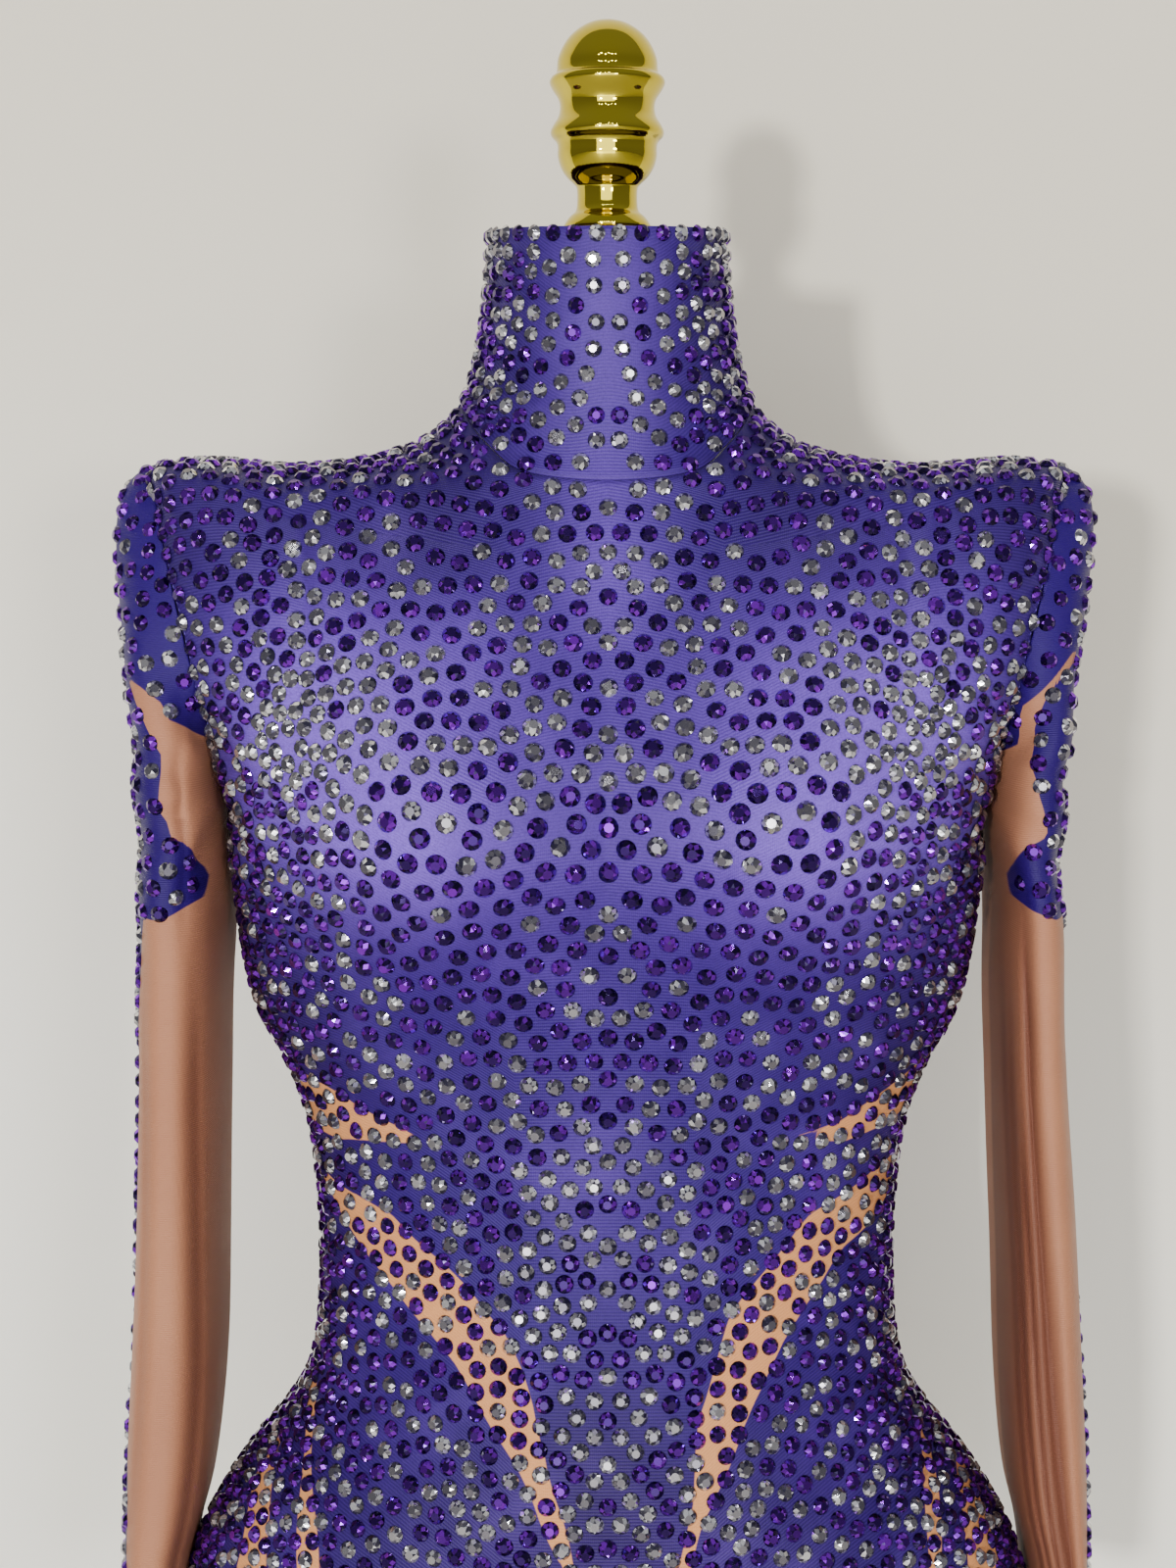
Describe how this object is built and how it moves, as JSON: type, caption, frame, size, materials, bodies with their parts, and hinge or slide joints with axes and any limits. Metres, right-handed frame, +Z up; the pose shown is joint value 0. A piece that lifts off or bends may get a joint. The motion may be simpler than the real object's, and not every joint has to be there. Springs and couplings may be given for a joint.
{
  "type": "stage bodysuit on dress form",
  "caption": "High-necked long-sleeved stage bodysuit with square padded shoulders, dotted with rhinestones, on a limbless counter dress form with a turned finial.",
  "frame": {"origin": "middle of the stand's underside, on the surface it stands on", "axes": "+Z up along the pole, -Y towards the front of the bodysuit, +X towards the wearer's left"},
  "size_m": [0.424, 0.3, 1.06],
  "materials": {
    "bodice_cloth": "satin violet stretch knit, printed",
    "sleeve_cloth": "satin nude brown stretch knit, printed",
    "form_cover": "matt off-white jersey",
    "gold_metal": "polished gold",
    "zip_metal": "violet lacquered metal"
  },
  "bodies": {
    "display": {"bodice_front": "bodice_cloth", "bodice_back_left": "bodice_cloth", "bodice_back_right": "bodice_cloth", "stand_collar": "bodice_cloth", "gusset_front": "bodice_cloth", "gusset_back": "bodice_cloth", "sleeve_left": "sleeve_cloth", "sleeve_right": "sleeve_cloth", "zip_slider": "zip_metal", "form_torso": "form_cover", "neck_cap": "gold_metal", "finial": "gold_metal", "pole_socket": "gold_metal", "stand_pole": "gold_metal", "stand_base": "gold_metal"},
    "zip_pull": {"zip_pull": "zip_metal"}
  },
  "joints": [
    {"name": "zip_pull_swing", "type": "hinge", "parent": "display", "child": "zip_pull", "pos_m": [0, 0.0476, 0.966], "axis": [1, 0, 0], "range_deg": [0, 150]}
  ]
}
